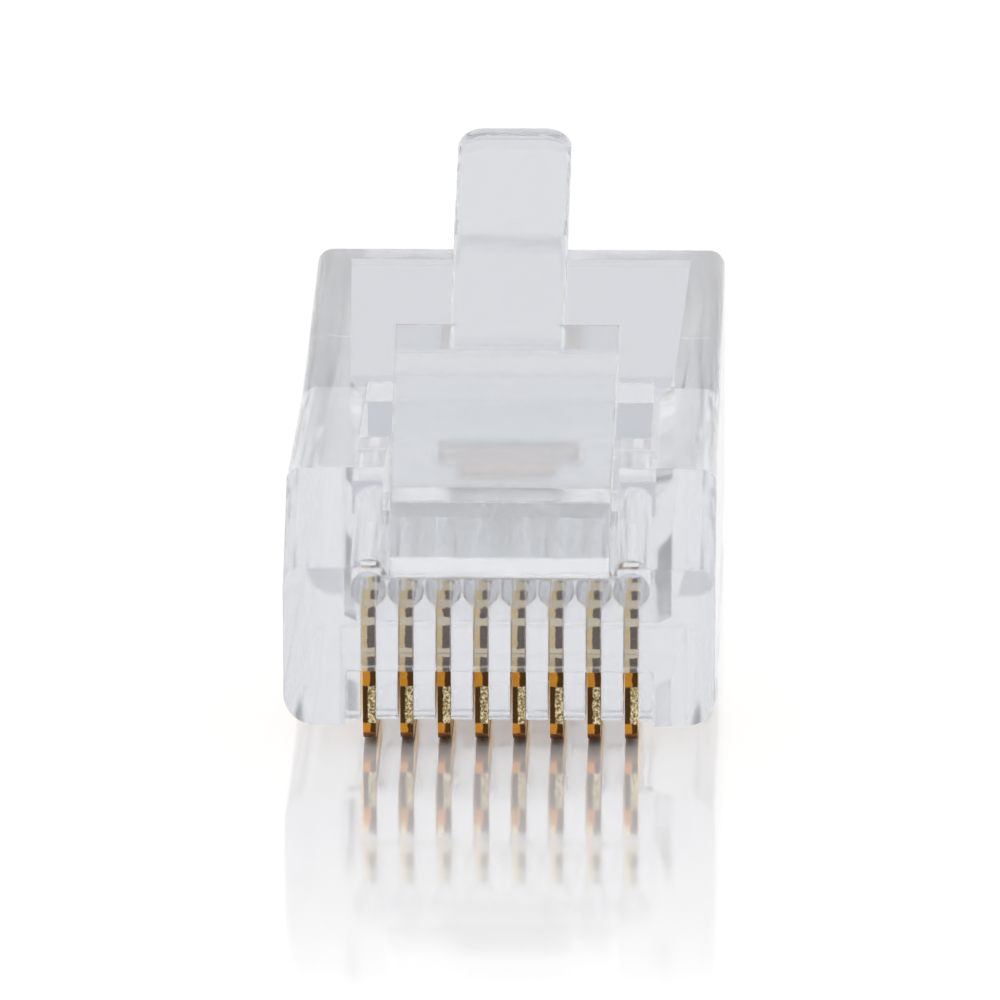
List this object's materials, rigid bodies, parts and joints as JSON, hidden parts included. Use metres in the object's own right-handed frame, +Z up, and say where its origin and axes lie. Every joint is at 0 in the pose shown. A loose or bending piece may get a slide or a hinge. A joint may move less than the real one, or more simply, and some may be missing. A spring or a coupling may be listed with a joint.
{
  "type": "rj45 modular plug",
  "caption": "Clear modular data plug with a bent locking latch, gold blade contacts, a jacket cavity at the back and a cable clamp tongue.",
  "frame": {"origin": "under the middle of the plug, level with the lowest point of the raised contacts", "axes": "+X across the contacts, +Y from the nose to the cable end, +Z up to the latch"},
  "size_m": [0.0116, 0.0214, 0.0136],
  "materials": {
    "clear_polycarbonate": "clear, polished mould finish",
    "gold_contact": "gold over nickel on phosphor bronze, with grained sheared edges"
  },
  "bodies": {
    "housing": {"housing": "clear_polycarbonate"},
    "latch": {"latch": "clear_polycarbonate"},
    "cable_clamp": {"cable_clamp": "clear_polycarbonate"},
    "contact_1": {"contact_1": "gold_contact"},
    "contact_2": {"contact_2": "gold_contact"},
    "contact_3": {"contact_3": "gold_contact"},
    "contact_4": {"contact_4": "gold_contact"},
    "contact_5": {"contact_5": "gold_contact"},
    "contact_6": {"contact_6": "gold_contact"},
    "contact_7": {"contact_7": "gold_contact"},
    "contact_8": {"contact_8": "gold_contact"}
  },
  "joints": [
    {"name": "latch_press", "type": "hinge", "parent": "housing", "child": "latch", "pos_m": [0, -0.0104, 0.0052], "axis": [-1, 0, 0], "range_deg": [0, 13], "stiffness_Nm_per_rad": 0.25},
    {"name": "clamp_crimp", "type": "hinge", "parent": "housing", "child": "cable_clamp", "pos_m": [0, -0.00413, 0.00543], "axis": [-1, 0, 0], "range_deg": [0, 20]},
    {"name": "contact_1_crimp", "type": "slide", "parent": "housing", "child": "contact_1", "axis": [0, 0, 1], "range_m": [0, 0.001]},
    {"name": "contact_2_crimp", "type": "slide", "parent": "housing", "child": "contact_2", "axis": [0, 0, 1], "range_m": [0, 0.001]},
    {"name": "contact_3_crimp", "type": "slide", "parent": "housing", "child": "contact_3", "axis": [0, 0, 1], "range_m": [0, 0.001]},
    {"name": "contact_4_crimp", "type": "slide", "parent": "housing", "child": "contact_4", "axis": [0, 0, 1], "range_m": [0, 0.001]},
    {"name": "contact_5_crimp", "type": "slide", "parent": "housing", "child": "contact_5", "axis": [0, 0, 1], "range_m": [0, 0.001]},
    {"name": "contact_6_crimp", "type": "slide", "parent": "housing", "child": "contact_6", "axis": [0, 0, 1], "range_m": [0, 0.001]},
    {"name": "contact_7_crimp", "type": "slide", "parent": "housing", "child": "contact_7", "axis": [0, 0, 1], "range_m": [0, 0.001]},
    {"name": "contact_8_crimp", "type": "slide", "parent": "housing", "child": "contact_8", "axis": [0, 0, 1], "range_m": [0, 0.001]}
  ]
}
